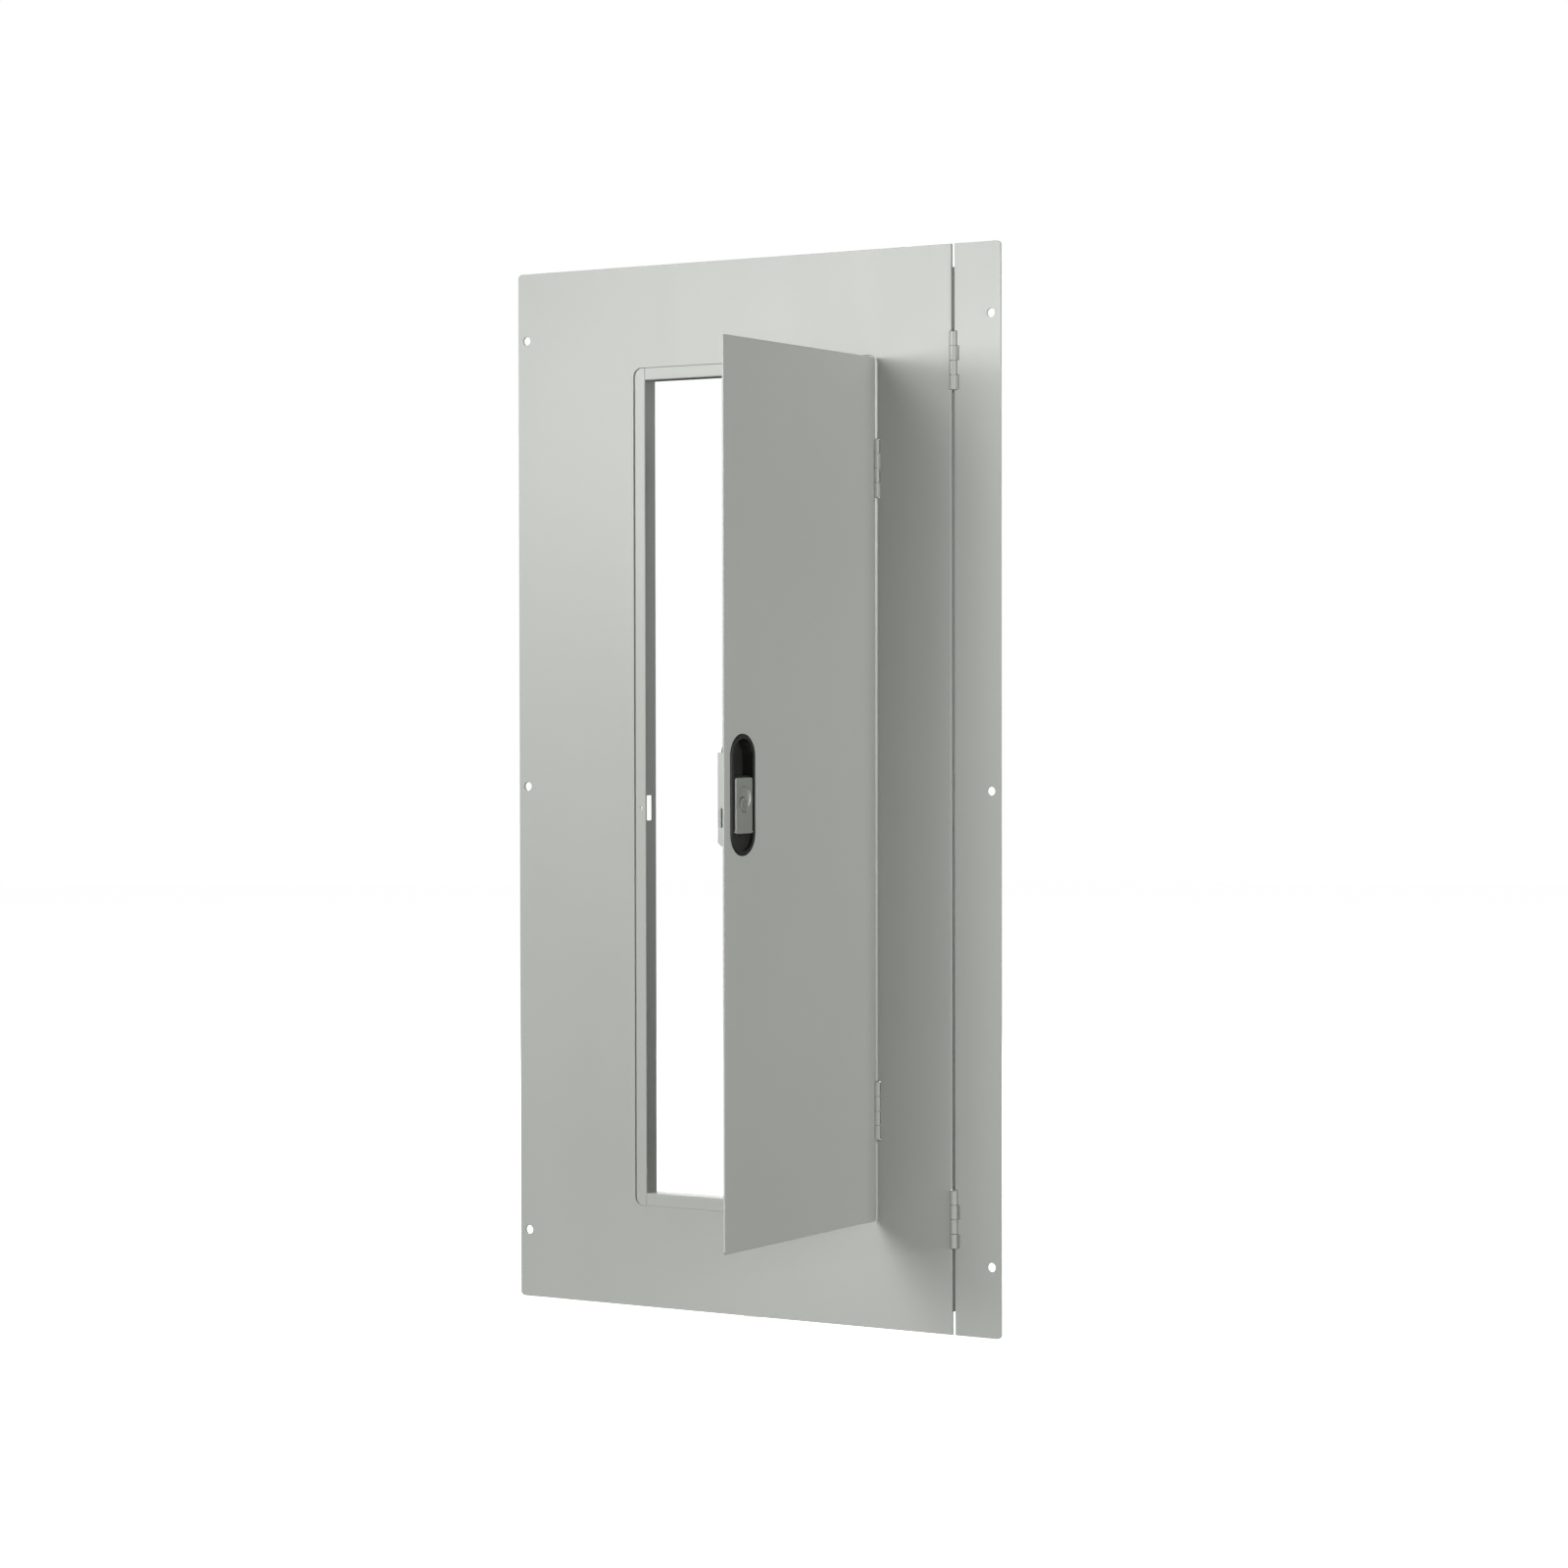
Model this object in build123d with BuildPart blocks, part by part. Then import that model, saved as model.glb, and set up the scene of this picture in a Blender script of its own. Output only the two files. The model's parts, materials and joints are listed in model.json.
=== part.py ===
from build123d import *
import math
import os

# Hinged panelboard front: a fixed side strip, a trim plate that swings on it, and an inner
# door with a flush paddle latch that swings on the trim plate.
#
# Frame, in mm: X right and Z up as seen from the room, Y into the wall. The origin is the
# centre of the four corner screw holes, in the back face of the sheet. The inner door is
# drawn standing open at a right angle to the trim; everything else is drawn closed.

# ---- overall sizes and sheet
TRIM_W = 508.0  # trim plate, gap and side strip together
TRIM_H = 952.5
SHEET_T = 1.9  # 14 gauge trim and strip
STRIP_W = 45.2
SPLIT_GAP = 3.0  # between strip and trim plate, and at the door's hinge edge
CORNER_R = 4.0

# ---- screw holes
HOLE_R = 4.0
HOLE_EDGE = 9.5  # hole centre to side edge
HOLE_END = 62.0  # hole centre to top or bottom edge

# ---- return flange along the swinging edge of the trim plate
FLANGE_DEPTH = 14.0  # from the front face
FLANGE_RELIEF = 20.0  # left off at each end
BEND_R = 1.4  # outside radius of the flange's bend
PICK = 0.01  # half-width of the band in which an edge is picked

# ---- inner door and the cut-out it closes
DOOR_W = 252.0
DOOR_H = 762.0
DOOR_T = 1.5  # 16 gauge
DOOR_AXIS_X = 130.0
DOOR_GAP = 2.5  # at the door's free edge, top and bottom
DOOR_R = 3.0
CUTOUT_R = 8.0

# ---- angle frame welded behind the cut-out
FRAME_T = 1.5
LEDGE = 11.4  # shown inside the cut-out
FRAME_LAP = 12.0  # hidden behind the trim plate
FRAME_DEPTH = 17.0  # of the return wall, from the sheet's back
FRAME_BEND_R = 1.2
STRIKE_H = 23.0
STRIKE_DEPTH = 10.0
DIMPLE_R = 1.4
DIMPLE_IN = 5.2  # centre of the dimple hole, from the bend

# ---- butt hinges cut from piano hinge
KNUCKLE_PITCH = 12.7
KNUCKLE_GAP = 0.3  # end play between neighbouring knuckles
KNUCKLE_CLEAR = 0.4  # knuckle to the edge of any sheet beside it
LEAF_T = 1.5
LEAF_W = 10.0  # from the axis
PIN_R = 1.85
PIN_PLAY = 0.05
PIN_CHAMFER = 0.3
TRIM_HINGE_END = 101.6  # hinge centre to top or bottom edge of the trim
DOOR_HINGE_END = 97.5  # hinge centre to top or bottom edge of the door
OPEN_NOTCH = 2.4  # extra depth of the notch facing the other leaf's knuckle

# ---- latch: bezel, paddle, bolt, case (distances back from the door's front face)
LATCH_IN = 28.5  # latch centre line to the door's free edge
BEZEL_W = 38.0
BEZEL_H = 102.0
BEZEL_PROUD = 1.5
BEZEL_EDGE_R = 1.0
CUP_W = 30.0
CUP_H = 94.0
CUP_WALL = 1.5
CUP_DEPTH = 9.0  # finger recess, behind the door's front face
FLOOR_T = 1.0  # shallow floor behind the paddle
FIT_GAP = 0.25  # bezel to its hole in the door
PADDLE_W = 26.5
PADDLE_H = 46.8
PADDLE_T = 3.0
PADDLE_LOW = 32.4  # paddle's lower edge, below the latch centre
PADDLE_PROUD = 0.5  # of the bezel's rim
PADDLE_FLOOR_GAP = 0.7
PADDLE_EDGE_R = 0.6
PADDLE_CORNER_R = 2.0
PADDLE_LIFT = 40.0  # degrees
PIVOT_R = 0.8
TAIL_T = 2.6
TILT_ROOM = 1.7  # width that the tilted tail needs in its slot, in tail thicknesses
RISE_SHARE = 0.95  # of the tail tip's rise, taken up by the slot
WINDOW_H = 6.76  # of the tail's window in the bezel's floor
BOLT_H = 16.0
BOLT_T = 3.0
BOLT_BEVEL = 2.4  # of the nose's back edge
BOLT_Z = -18.7  # bolt centre, from the latch centre
BOLT_TIP = 1.3  # tip to the plane of the door's free edge, thrown
BOLT_TRAVEL = 8.5
BOLT_LAND = 11.6  # length of the full-height nose
BOLT_PLAY = 0.9  # bolt's front face to the back of the ledge
SHANK_T = 2.5
SHANK_WEB = 1.2  # metal left round the cam slot
SHANK_REACH = 21.9  # from the back of the nose's shoulder
SHOULDER_T = 2.5
CAM_CLEAR = 0.4
CASE_IN = 10.5  # case to the door's free edge
CASE_DEPTH = 12.75
CASE_T = 1.2
CASE_UP = 35.4
CASE_DOWN = 42.5
CASE_CHAMFER = 3.0
CASE_FLANGE = 10.5
CASE_CLEAR = 0.3  # to the bezel's cup and round the bolt
STUD_R = 2.0
STUD_LEN = 7.0
STUD_SPACING = 50.0
NUT_ACROSS = 7.0
NUT_T = 3.2
SCREW_R = 1.2
SCREW_HEAD_R = 2.6
SCREW_HEAD_T = 1.6
SCREW_BITE = 1.9
BOSS_R = 3.0
BOSS_TOP = 26.0  # upper boss, above the latch centre
BOSS_SIDE = 11.0  # lower bosses, to each side
BOSS_LOW = 6.0

# ---- lock in the middle of the paddle
LOCK_LOW = 8.0  # below the latch centre
LOCK_R = 6.0
LOCK_HOLE_GAP = 0.5  # paddle to lock
LOCK_NUT_R = 7.0
LOCK_NUT_T = 2.0
PLUG_R = 4.4
PLUG_PLAY = 0.05
PLUG_SUNK = 0.3
KEYWAY_W = 1.4
KEYWAY_H = 6.0
KEYWAY_DEPTH = 3.0
CAM_LEN = 5.6
CAM_W = 7.0
CAM_T = 1.2
CAM_GAP = 0.2
CAM_STUD_R = 1.5
CLIP_R = 3.0  # outside of the retaining ring

# ---- bolt spring
SPRING_R = 2.2  # mean radius
SPRING_WIRE_R = 0.25
SPRING_TURNS = 5

# ---- circuit directory on the inside of the door
HOLDER_W = 160.0
HOLDER_H = 230.0
HOLDER_T = 1.6
HOLDER_RIM = 7.0
HOLDER_R = 4.0
HOLDER_Z = 200.0
CARD_T = 0.4
CARD_GAP = 0.5

# ---- worked out: trim, strip, cut-out
HALF_GAP = SPLIT_GAP / 2
EDGE_X = TRIM_W / 2
EDGE_Z = TRIM_H / 2
HOLE_X = EDGE_X - HOLE_EDGE
HOLE_Z = EDGE_Z - HOLE_END
HOLE_ROWS = (-HOLE_Z, 0.0, HOLE_Z)
TRIM_AXIS_X = EDGE_X - STRIP_W - HALF_GAP
TRIM_HINGE_Z = EDGE_Z - TRIM_HINGE_END
DOOR_HINGE_Z = DOOR_H / 2 - DOOR_HINGE_END
CUT_LEFT = DOOR_AXIS_X - HALF_GAP - DOOR_W - DOOR_GAP
CUT_RIGHT = DOOR_AXIS_X + HALF_GAP
CUT_Z = DOOR_H / 2 + DOOR_GAP
OPEN_LEFT = CUT_LEFT + LEDGE
OPEN_RIGHT = CUT_RIGHT - LEDGE
OPEN_Z = CUT_Z - LEDGE
LEG_W = LEDGE + FRAME_LAP
STILE_HALF = OPEN_Z + LEG_W

# ---- worked out: hinges
KNUCKLE_R = SHEET_T + LEAF_T
LEAF_NECK = 0.7 * KNUCKLE_R
HINGE_LEN = 4 * KNUCKLE_PITCH
KNUCKLE_LEN = KNUCKLE_PITCH - KNUCKLE_GAP
OWN_KNUCKLES = (1.5 * KNUCKLE_PITCH, -0.5 * KNUCKLE_PITCH)
NOTCH_U = KNUCKLE_R + KNUCKLE_CLEAR
FLANGE_HEEL = LEAF_T + KNUCKLE_CLEAR  # front edge of the flange where it passes a hinge
NOTCH_LEN = HINGE_LEN + 2 * KNUCKLE_CLEAR

# ---- worked out: latch, in the door's own plane (u from the hinge axis, w out of the face)
FREE_U = -(HALF_GAP + DOOR_W)
LATCH_U = FREE_U + LATCH_IN
PADDLE_FRONT = BEZEL_PROUD + PADDLE_PROUD
PADDLE_BACK = PADDLE_FRONT - PADDLE_T
FLOOR_FRONT = PADDLE_BACK - PADDLE_FLOOR_GAP
FLOOR_BACK = FLOOR_FRONT - FLOOR_T
DEEP_BACK = -CUP_DEPTH - CUP_WALL
PIVOT_W = PADDLE_FRONT - PADDLE_T / 2
PIVOT_V = PADDLE_T / 2 - PADDLE_LOW
PADDLE_TOP = PADDLE_H - PADDLE_LOW
BOLT_FRONT = -(SHEET_T + FRAME_T + BOLT_PLAY)
CASE_BACK = -CASE_DEPTH
CASE_FLOOR = CASE_BACK + CASE_T
SHANK_BACK = CASE_FLOOR + CASE_CLEAR
CUP_HALF = CUP_W / 2 + CUP_WALL
CASE_LEFT = FREE_U + CASE_IN
CASE_RIGHT = LATCH_U + CUP_HALF + CASE_CLEAR + CASE_T
SHOULDER_U = CASE_LEFT + CASE_T + CASE_CLEAR
SHANK_END = SHOULDER_U + SHANK_REACH
TAIL_LEN = PIVOT_W - SHANK_BACK
TAIL_SWING = TAIL_LEN * math.sin(math.radians(PADDLE_LIFT / 2))
CAM_RISE = 2 * TAIL_SWING * RISE_SHARE
CAM_SLOPE = math.degrees(math.atan2(CAM_RISE, -BOLT_TRAVEL))
CAM_RUN = math.hypot(CAM_RISE, BOLT_TRAVEL)
CAM_SLOT_W = TAIL_T * TILT_ROOM + 2 * CAM_CLEAR
SHANK_H = CAM_RISE + CAM_SLOT_W + 2 * SHANK_WEB
LOCK_BACK = CASE_FLOOR + CASE_CLEAR + 2 * CAM_T + CAM_GAP
SCREW_SPOTS = (
    (LATCH_U, BOSS_TOP),
    (LATCH_U - BOSS_SIDE, BOSS_LOW),
    (LATCH_U + BOSS_SIDE, BOSS_LOW),
)

# ---- planes: FRONT is the trim's front face, DOOR the open door's front face
FRONT = Plane(origin=(0, -SHEET_T, 0), x_dir=(1, 0, 0), z_dir=(0, -1, 0))
DOOR = Plane(origin=(DOOR_AXIS_X, -SHEET_T, 0), x_dir=(0, 1, 0), z_dir=(1, 0, 0))
PIVOT = Plane(
    origin=(DOOR_AXIS_X + PIVOT_W, LATCH_U - SHEET_T, PIVOT_V),
    x_dir=(0, 0, 1),
    z_dir=(0, 1, 0),
)
LOCK = Plane(
    origin=(DOOR_AXIS_X, LATCH_U - SHEET_T, -LOCK_LOW), x_dir=(0, 1, 0), z_dir=(1, 0, 0)
)


def make_side_strip():
    """Fixed strip that the trim plate hangs on, notched round the knuckles."""
    with BuildPart() as side_strip:
        with BuildSketch(FRONT):
            with Locations((EDGE_X - STRIP_W / 2, 0)):
                Rectangle(STRIP_W, TRIM_H)
            fillet(vertices().group_by(Axis.X)[-1], CORNER_R)
            with Locations(*[(HOLE_X, z) for z in HOLE_ROWS]):
                Circle(HOLE_R, mode=Mode.SUBTRACT)
            with Locations((TRIM_AXIS_X, TRIM_HINGE_Z), (TRIM_AXIS_X, -TRIM_HINGE_Z)):
                Rectangle(2 * NOTCH_U, NOTCH_LEN, mode=Mode.SUBTRACT)
                with Locations(*[(0, -z) for z in OWN_KNUCKLES]):
                    Rectangle(
                        2 * (NOTCH_U + OPEN_NOTCH), KNUCKLE_PITCH, mode=Mode.SUBTRACT
                    )
        extrude(amount=-SHEET_T)
    side_strip.part.label = "side_strip"
    export_step(side_strip.part, "parts/side_strip.step")


def make_trim_plate():
    """Swinging trim plate: flat sheet with the door's cut-out and a return flange."""
    left = -EDGE_X
    right = TRIM_AXIS_X - HALF_GAP
    with BuildPart() as trim_plate:
        with BuildSketch(FRONT):
            with Locations(((left + right) / 2, 0)):
                Rectangle(right - left, TRIM_H)
            fillet(vertices().group_by(Axis.X)[0], CORNER_R)
            with Locations(((CUT_LEFT + CUT_RIGHT) / 2, 0)):
                RectangleRounded(
                    CUT_RIGHT - CUT_LEFT, 2 * CUT_Z, CUTOUT_R, mode=Mode.SUBTRACT
                )
            with Locations(*[(-HOLE_X, z) for z in HOLE_ROWS]):
                Circle(HOLE_R, mode=Mode.SUBTRACT)
            with Locations((TRIM_AXIS_X, TRIM_HINGE_Z), (TRIM_AXIS_X, -TRIM_HINGE_Z)):
                Rectangle(2 * NOTCH_U, NOTCH_LEN, mode=Mode.SUBTRACT)
            with Locations((DOOR_AXIS_X, DOOR_HINGE_Z), (DOOR_AXIS_X, -DOOR_HINGE_Z)):
                Rectangle(2 * NOTCH_U, NOTCH_LEN, mode=Mode.SUBTRACT)
        extrude(amount=-SHEET_T)
        with BuildSketch(Plane.YZ.offset(right - SHEET_T)):
            with Locations((FLANGE_DEPTH / 2 - SHEET_T, 0)):
                Rectangle(FLANGE_DEPTH, 2 * (EDGE_Z - FLANGE_RELIEF))
            for middle in (TRIM_HINGE_Z, -TRIM_HINGE_Z):
                with Locations(((FLANGE_HEEL - SHEET_T) / 2, middle)):
                    Rectangle(
                        FLANGE_HEEL + SHEET_T, NOTCH_LEN + 2 * SHEET_T, mode=Mode.SUBTRACT
                    )
        extrude(amount=SHEET_T)
        bend = edges().filter_by(Axis.Z).filter_by_position(Axis.X, right - PICK, right + PICK)
        fillet(bend.filter_by_position(Axis.Y, -SHEET_T - PICK, PICK - SHEET_T), BEND_R)
    trim_plate.part.label = "trim_plate"
    export_step(trim_plate.part, "parts/trim_plate.step")


def stile_corners(edge, away):
    """Corners of an upright's L section: a leg behind the sheet, a wall back from its bend."""
    return (
        (edge, 0),
        (edge, FRAME_DEPTH),
        (edge + away * FRAME_T, FRAME_DEPTH),
        (edge + away * FRAME_T, FRAME_T),
        (edge + away * LEG_W, FRAME_T),
        (edge + away * LEG_W, 0),
    )


def make_stile_left():
    """Frame upright at the door's free edge, with the slot that the bolt enters."""
    with BuildPart() as stile_left:
        with BuildSketch(Plane.XY):
            with BuildLine():
                Polyline(*stile_corners(OPEN_LEFT, -1), close=True)
            make_face()
            fillet(vertices().sort_by_distance((OPEN_LEFT, 0))[0], FRAME_BEND_R)
        extrude(amount=STILE_HALF, both=True)
        with BuildSketch(Plane.YZ.offset(OPEN_LEFT)):
            with Locations((FRAME_T + STRIKE_DEPTH / 2, BOLT_Z)):
                Rectangle(STRIKE_DEPTH, STRIKE_H)
        extrude(amount=FRAME_T, both=True, mode=Mode.SUBTRACT)
        with BuildSketch(FRONT.offset(-SHEET_T)):
            with Locations((OPEN_LEFT - DIMPLE_IN, BOLT_Z)):
                Circle(DIMPLE_R)
        extrude(amount=-FRAME_T, mode=Mode.SUBTRACT)
    stile_left.part.label = "stile_left"
    export_step(stile_left.part, "parts/stile_left.step")


def make_stile_right():
    """Frame upright at the hinge edge, cut away where the door's hinges are welded."""
    relief = LEAF_T + KNUCKLE_CLEAR
    with BuildPart() as stile_right:
        with BuildSketch(Plane.XY):
            with BuildLine():
                Polyline(*stile_corners(OPEN_RIGHT, 1), close=True)
            make_face()
            fillet(vertices().sort_by_distance((OPEN_RIGHT, 0))[0], FRAME_BEND_R)
        extrude(amount=STILE_HALF, both=True)
        with BuildSketch(Plane.YZ.offset(OPEN_RIGHT)):
            with Locations((relief / 2, DOOR_HINGE_Z), (relief / 2, -DOOR_HINGE_Z)):
                Rectangle(relief, NOTCH_LEN)
        extrude(amount=LEG_W, mode=Mode.SUBTRACT)
    stile_right.part.label = "stile_right"
    export_step(stile_right.part, "parts/stile_right.step")


def make_rail(label, up):
    """Frame crosspiece between the uprights, butted against them."""
    with BuildPart() as rail:
        with BuildSketch(Plane.YZ.offset(OPEN_LEFT)):
            with BuildLine():
                Polyline(
                    (0, up * OPEN_Z),
                    (FRAME_DEPTH, up * OPEN_Z),
                    (FRAME_DEPTH, up * (OPEN_Z + FRAME_T)),
                    (FRAME_T, up * (OPEN_Z + FRAME_T)),
                    (FRAME_T, up * (OPEN_Z + LEG_W)),
                    (0, up * (OPEN_Z + LEG_W)),
                    close=True,
                )
            make_face()
            fillet(vertices().sort_by_distance((0, up * OPEN_Z))[0], FRAME_BEND_R)
        extrude(amount=OPEN_RIGHT - OPEN_LEFT)
    rail.part.label = label
    export_step(rail.part, f"parts/{label}.step")


def hinge_plane(x, y, z, leaf_dir, up):
    """Plane across a hinge's axis: its x runs along the leaf and its y behind the sheet."""
    return Plane(origin=(x, y, z), x_dir=leaf_dir, z_dir=(0, 0, up))


def make_leaf(label, section, seat, bore_r):
    """Half of a hinge: a leaf welded behind a sheet of thickness seat, with two knuckles."""
    shoulder = NOTCH_U + LEAF_T / 2
    with BuildPart() as leaf:
        with BuildSketch(section):
            with Locations(((shoulder + LEAF_W) / 2, seat + LEAF_T / 2)):
                Rectangle(LEAF_W - shoulder, LEAF_T)
        extrude(amount=(HINGE_LEN - KNUCKLE_GAP) / 2, both=True)
        for height in OWN_KNUCKLES:
            with BuildSketch(section.offset(height)):
                with BuildLine():
                    Polyline(
                        (0, SHEET_T),
                        (LEAF_NECK, SHEET_T),
                        (shoulder, seat),
                        (LEAF_W, seat),
                        (LEAF_W, seat + LEAF_T),
                        (shoulder, seat + LEAF_T),
                        (LEAF_NECK, KNUCKLE_R),
                        (0, KNUCKLE_R),
                        close=True,
                    )
                make_face()
                Circle(KNUCKLE_R)
                Circle(bore_r, mode=Mode.SUBTRACT)
            extrude(amount=KNUCKLE_LEN / 2, both=True)
    leaf.part.label = label
    export_step(leaf.part, f"parts/{label}.step")


def make_pin(label, x, y, z):
    """Hinge pin, tight in the fixed leaf's knuckles and free in the moving leaf's."""
    with BuildPart() as pin:
        with BuildSketch(Plane(origin=(x, y, z))):
            Circle(PIN_R)
        extrude(amount=(HINGE_LEN - KNUCKLE_GAP) / 2, both=True)
        chamfer(edges(), PIN_CHAMFER)
    pin.part.label = label
    export_step(pin.part, f"parts/{label}.step")


def make_trim_hinges():
    """The two hinges between side strip and trim plate."""
    for place, z in (("upper", TRIM_HINGE_Z), ("lower", -TRIM_HINGE_Z)):
        fixed = hinge_plane(TRIM_AXIS_X, -SHEET_T, z, (1, 0, 0), 1)
        moving = hinge_plane(TRIM_AXIS_X, -SHEET_T, z, (-1, 0, 0), -1)
        make_leaf(f"trim_hinge_{place}_strip_leaf", fixed, SHEET_T, PIN_R)
        make_leaf(f"trim_hinge_{place}_trim_leaf", moving, SHEET_T, PIN_R + PIN_PLAY)
        make_pin(f"trim_hinge_{place}_pin", TRIM_AXIS_X, -SHEET_T, z)


def make_door_hinges():
    """The two hinges between trim plate and inner door."""
    for place, z in (("upper", DOOR_HINGE_Z), ("lower", -DOOR_HINGE_Z)):
        fixed = hinge_plane(DOOR_AXIS_X, -SHEET_T, z, (1, 0, 0), 1)
        moving = hinge_plane(DOOR_AXIS_X, -SHEET_T, z, (0, -1, 0), -1)
        make_leaf(f"door_hinge_{place}_trim_leaf", fixed, SHEET_T, PIN_R)
        make_leaf(f"door_hinge_{place}_door_leaf", moving, DOOR_T, PIN_R + PIN_PLAY)
        make_pin(f"door_hinge_{place}_pin", DOOR_AXIS_X, -SHEET_T, z)


def cup_outline(margin, mode=Mode.ADD):
    """Upright stadium, margin wider all round than the inside of the bezel's cup."""
    with Locations((LATCH_U, 0)):
        SlotOverall(CUP_H + 2 * margin, CUP_W + 2 * margin, rotation=90, mode=mode)


def make_door_panel():
    """Inner door: one flat sheet with the bezel's hole, notched round the knuckles."""
    with BuildPart() as door_panel:
        with BuildSketch(DOOR):
            with Locations((FREE_U + DOOR_W / 2, 0)):
                RectangleRounded(DOOR_W, DOOR_H, DOOR_R)
            with Locations((0, DOOR_HINGE_Z), (0, -DOOR_HINGE_Z)):
                Rectangle(2 * NOTCH_U, NOTCH_LEN, mode=Mode.SUBTRACT)
            cup_outline(CUP_WALL + FIT_GAP, mode=Mode.SUBTRACT)
        extrude(amount=-DOOR_T)
    door_panel.part.label = "door_panel"
    export_step(door_panel.part, "parts/door_panel.step")


def deep_outline(margin):
    """The part of the cup's outline above the paddle, for the finger recess."""
    cup_outline(margin)
    low = PADDLE_TOP + CUP_WALL - margin
    with Locations((LATCH_U, low - CUP_H)):
        Rectangle(2 * CUP_W, 2 * CUP_H, mode=Mode.SUBTRACT)


def make_latch_bezel():
    """Moulded stadium bezel: rim, shallow pan behind the paddle and deep finger recess."""
    with BuildPart() as latch_bezel:
        with BuildSketch(DOOR):
            with Locations((LATCH_U, 0)):
                SlotOverall(BEZEL_H, BEZEL_W, rotation=90)
        extrude(amount=BEZEL_PROUD)
        fillet(faces().sort_by(Axis.X)[-1].edges(), BEZEL_EDGE_R)
        with BuildSketch(DOOR):
            cup_outline(CUP_WALL)
        extrude(amount=FLOOR_BACK)
        with BuildSketch(DOOR.offset(FLOOR_BACK)):
            deep_outline(CUP_WALL)
        extrude(amount=DEEP_BACK - FLOOR_BACK)
        with BuildSketch(DOOR.offset(FLOOR_BACK)):
            with Locations(*SCREW_SPOTS):
                Circle(BOSS_R)
        extrude(amount=CASE_FLOOR - FLOOR_BACK)
        with BuildSketch(DOOR.offset(FLOOR_FRONT)):
            cup_outline(0)
        extrude(amount=BEZEL_PROUD - FLOOR_FRONT, mode=Mode.SUBTRACT)
        with BuildSketch(DOOR.offset(-CUP_DEPTH)):
            deep_outline(0)
        extrude(amount=BEZEL_PROUD + CUP_DEPTH, mode=Mode.SUBTRACT)
        with BuildSketch(DOOR.offset(FLOOR_BACK)):
            with Locations((LATCH_U, -LOCK_LOW)):
                Circle(LOCK_R)
            with Locations((LATCH_U, PIVOT_V)):
                Rectangle(TAIL_T + 2 * CAM_CLEAR, WINDOW_H)
        extrude(amount=FLOOR_T, mode=Mode.SUBTRACT)
        with BuildSketch(DOOR.offset(CASE_FLOOR)):
            with Locations(*SCREW_SPOTS):
                Circle(SCREW_R)
        extrude(amount=SCREW_BITE, mode=Mode.SUBTRACT)
        with BuildSketch(PIVOT):
            Circle(PIVOT_R)
        extrude(amount=CUP_HALF, both=True, mode=Mode.SUBTRACT)
    latch_bezel.part.label = "latch_bezel"
    export_step(latch_bezel.part, "parts/latch_bezel.step")


def make_paddle():
    """Flush pull paddle, pivoted at its lower edge, with the tail that drives the bolt."""
    with BuildPart() as paddle:
        with BuildSketch(DOOR.offset(PADDLE_BACK)):
            with Locations((LATCH_U, (PIVOT_V + PADDLE_TOP) / 2)):
                Rectangle(PADDLE_W, PADDLE_TOP - PIVOT_V)
            fillet(vertices().group_by(Axis.Y)[-1], PADDLE_CORNER_R)
            with Locations((LATCH_U, -LOCK_LOW)):
                Circle(LOCK_R + LOCK_HOLE_GAP, mode=Mode.SUBTRACT)
        extrude(amount=PADDLE_T)
        fillet(faces().sort_by(Axis.X)[-1].outer_wire().edges().sort_by(Axis.Z)[1:], PADDLE_EDGE_R)
        with BuildSketch(PIVOT):
            Circle(PADDLE_T / 2)
        extrude(amount=PADDLE_W / 2, both=True)
        with BuildSketch(PIVOT):
            lean = math.radians(PADDLE_LIFT / 2)
            with Locations((-TAIL_LEN / 2 * math.sin(lean), -TAIL_LEN / 2 * math.cos(lean))):
                Rectangle(TAIL_T, TAIL_LEN, rotation=-PADDLE_LIFT / 2)
        extrude(amount=TAIL_T / 2, both=True)
        with BuildSketch(PIVOT):
            Circle(PIVOT_R + PIN_PLAY)
        extrude(amount=PADDLE_W / 2, both=True, mode=Mode.SUBTRACT)
    paddle.part.label = "paddle"
    export_step(paddle.part, "parts/paddle.step")


def make_paddle_pin():
    """Cross pin that the paddle pivots on, held in the side walls of the cup."""
    with BuildPart() as paddle_pin:
        with BuildSketch(PIVOT):
            Circle(PIVOT_R)
        extrude(amount=CUP_HALF, both=True)
    paddle_pin.part.label = "paddle_pin"
    export_step(paddle_pin.part, "parts/paddle_pin.step")


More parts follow.
